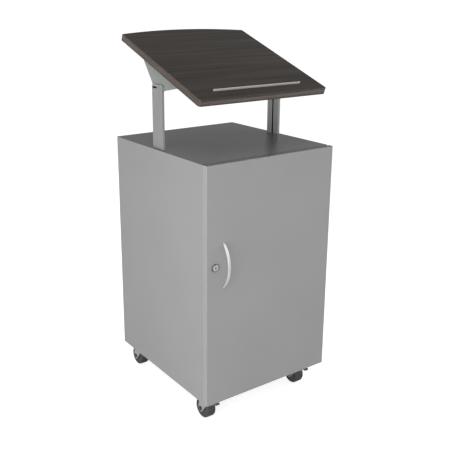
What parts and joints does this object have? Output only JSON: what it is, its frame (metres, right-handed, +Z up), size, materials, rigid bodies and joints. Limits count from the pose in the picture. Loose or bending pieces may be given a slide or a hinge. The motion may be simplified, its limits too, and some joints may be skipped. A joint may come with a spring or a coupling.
{
  "type": "presentation lectern",
  "caption": "Height-adjustable presentation lectern: a grey cabinet on swivel casters with a locking door, and a dark tilting reading board on two sliding slotted columns.",
  "frame": {"origin": "on the floor, under the middle of the overall box", "axes": "+Z up; the door and the low edge of the board face -Y, the audience is on the +Y side; +X is to the right of the speaker who faces the door"},
  "size_m": [0.457, 0.5394, 1.1343],
  "materials": {
    "grey_laminate": "matt textured",
    "dark_laminate": "semi-gloss",
    "grey_edging": "satin",
    "zinc_steel": "bright zinc plate",
    "fork_steel": "zinc plate",
    "wheel_rubber": "matt",
    "black_plastic": "moulded",
    "nylon": "smooth",
    "clear_rubber": "soft clear",
    "seal_rubber": "soft grey",
    "column_paint": "satin powder coat",
    "cap_plastic": "moulded",
    "bracket_paint": "satin powder coat",
    "dark_wood": "wood-grain laminate",
    "wood_edging": "wood-grain edging",
    "stop_metal": "satin anodised",
    "satin_metal": "satin",
    "lock_chrome": "polished"
  },
  "bodies": {
    "cabinet": {"side_panel_left": "grey_laminate", "side_panel_right": "grey_laminate", "bottom_panel": "grey_laminate", "top_panel": "grey_laminate", "top_laminate": "dark_laminate", "back_panel": "grey_laminate", "shelf": "grey_laminate", "shelf_pins": "zinc_steel", "cam_discs": "zinc_steel", "cam_bolts": "zinc_steel", "column_guides": "column_paint", "column_glides": "nylon", "clamp_nuts": "zinc_steel", "lock_strike": "zinc_steel", "hinge_leaf_case": "zinc_steel", "hinge_pin": "zinc_steel", "wood_screws": "zinc_steel", "door_bumpers": "clear_rubber", "door_seal": "seal_rubber", "caster_plates": "zinc_steel", "caster_kingpins": "zinc_steel", "caster_screws": "zinc_steel"},
    "door": {"door_panel": "grey_laminate", "door_edging": "grey_edging", "door_handle": "satin_metal", "handle_screws": "zinc_steel", "lock_body": "lock_chrome", "lock_nut": "zinc_steel", "hinge_leaf_door": "zinc_steel", "hinge_screws_door": "zinc_steel"},
    "lock_core": {"lock_plug": "lock_chrome", "lock_cam": "zinc_steel"},
    "clamp_left": {"clamp_knob_left": "black_plastic"},
    "clamp_right": {"clamp_knob_right": "black_plastic"},
    "columns": {"column_left": "column_paint", "column_right": "column_paint", "column_caps": "cap_plastic", "pivot_nuts": "zinc_steel", "pivot_bolts": "zinc_steel"},
    "board": {"bracket_left": "bracket_paint", "bracket_right": "bracket_paint", "friction_washers": "nylon", "board_panel": "dark_wood", "board_edging": "wood_edging", "paper_stop": "stop_metal", "board_screws": "zinc_steel"},
    "swivel_front_left": {"fork_front_left": "fork_steel", "axle_front_left": "zinc_steel"},
    "roller_front_left": {"wheel_front_left": "wheel_rubber"},
    "swivel_front_right": {"fork_front_right": "fork_steel", "axle_front_right": "zinc_steel"},
    "roller_front_right": {"wheel_front_right": "wheel_rubber"},
    "swivel_rear_left": {"fork_rear_left": "fork_steel", "axle_rear_left": "zinc_steel"},
    "roller_rear_left": {"wheel_rear_left": "wheel_rubber"},
    "swivel_rear_right": {"fork_rear_right": "fork_steel", "axle_rear_right": "zinc_steel"},
    "roller_rear_right": {"wheel_rear_right": "wheel_rubber"},
    "brake_left": {"brake_pedal_left": "black_plastic"},
    "brake_right": {"brake_pedal_right": "black_plastic"}
  },
  "joints": [
    {"name": "door_hinge", "type": "hinge", "parent": "cabinet", "child": "door", "pos_m": [0.2255, -0.21975, 0.448], "axis": [0, 0, 1], "range_deg": [0, 110]},
    {"name": "lock_turn", "type": "hinge", "parent": "door", "child": "lock_core", "pos_m": [-0.201, -0.23975, 0.516], "axis": [0, -1, 0], "range_deg": [0, 90]},
    {"name": "column_lift", "type": "slide", "parent": "cabinet", "child": "columns", "axis": [0, 0, 1], "range_m": [-0.1, 0.12]},
    {"name": "board_tilt", "type": "hinge", "parent": "columns", "child": "board", "pos_m": [0, 0.02225, 0.972], "axis": [1, 0, 0], "range_deg": [-20, 10]},
    {"name": "clamp_turn_left", "type": "hinge", "parent": "cabinet", "child": "clamp_left", "pos_m": [-0.2095, 0.02225, 0.69], "axis": [1, 0, 0], "range_deg": [0, 360]},
    {"name": "clamp_turn_right", "type": "hinge", "parent": "cabinet", "child": "clamp_right", "pos_m": [0.2095, 0.02225, 0.69], "axis": [-1, 0, 0], "range_deg": [0, 360]},
    {"name": "swivel_turn_front_left", "type": "hinge", "parent": "cabinet", "child": "swivel_front_left", "pos_m": [-0.178, -0.18925, 0.076], "axis": [0, 0, 1], "continuous": true},
    {"name": "wheel_roll_front_left", "type": "hinge", "parent": "swivel_front_left", "child": "roller_front_left", "pos_m": [-0.178, -0.16125, 0.032], "axis": [1, 0, 0], "continuous": true},
    {"name": "swivel_turn_front_right", "type": "hinge", "parent": "cabinet", "child": "swivel_front_right", "pos_m": [0.178, -0.18925, 0.076], "axis": [0, 0, 1], "continuous": true},
    {"name": "wheel_roll_front_right", "type": "hinge", "parent": "swivel_front_right", "child": "roller_front_right", "pos_m": [0.178, -0.16125, 0.032], "axis": [1, 0, 0], "continuous": true},
    {"name": "swivel_turn_rear_left", "type": "hinge", "parent": "cabinet", "child": "swivel_rear_left", "pos_m": [-0.178, 0.20975, 0.076], "axis": [0, 0, 1], "continuous": true},
    {"name": "wheel_roll_rear_left", "type": "hinge", "parent": "swivel_rear_left", "child": "roller_rear_left", "pos_m": [-0.178, 0.23775, 0.032], "axis": [1, 0, 0], "continuous": true},
    {"name": "swivel_turn_rear_right", "type": "hinge", "parent": "cabinet", "child": "swivel_rear_right", "pos_m": [0.178, 0.20975, 0.076], "axis": [0, 0, 1], "continuous": true},
    {"name": "wheel_roll_rear_right", "type": "hinge", "parent": "swivel_rear_right", "child": "roller_rear_right", "pos_m": [0.178, 0.23775, 0.032], "axis": [1, 0, 0], "continuous": true},
    {"name": "brake_press_left", "type": "hinge", "parent": "swivel_front_left", "child": "brake_left", "pos_m": [-0.178, -0.19925, 0.068], "axis": [1, 0, 0], "range_deg": [0, 14]},
    {"name": "brake_press_right", "type": "hinge", "parent": "swivel_front_right", "child": "brake_right", "pos_m": [0.178, -0.19925, 0.068], "axis": [1, 0, 0], "range_deg": [0, 14]}
  ]
}
